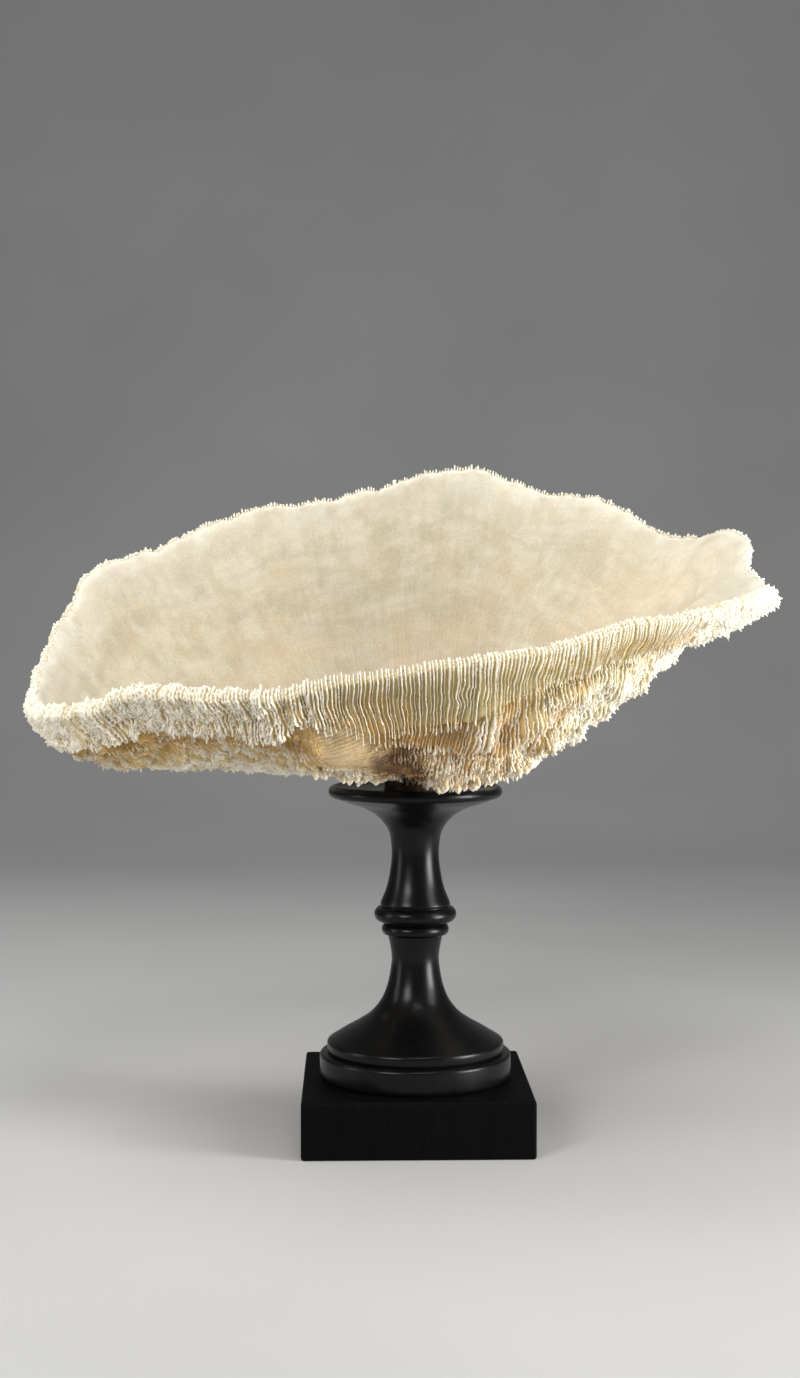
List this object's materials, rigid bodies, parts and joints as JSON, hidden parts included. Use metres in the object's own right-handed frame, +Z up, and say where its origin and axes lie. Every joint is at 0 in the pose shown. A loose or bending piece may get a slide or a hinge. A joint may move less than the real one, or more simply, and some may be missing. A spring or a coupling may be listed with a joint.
{
  "type": "cup coral on stand",
  "caption": "Dished plate-like stony coral held mouth up by a hidden pin on a turned black column with a square plinth; stands free as a display piece.",
  "frame": {"origin": "centre of the plinth's underside, on the turning axis of the column", "axes": "+Z up along the column; +X to the right, along the coral's long way; -Y is the front, the side the coral's mouth leans towards"},
  "size_m": [0.3947, 0.297, 0.3661],
  "materials": {
    "coral": "matte",
    "seat": "matte",
    "pin": "satin",
    "column": "satin",
    "plinth": "satin"
  },
  "bodies": {
    "root": {"coral": "coral", "seat": "seat", "pin": "pin", "column": "column", "plinth": "plinth"}
  },
  "joints": []
}
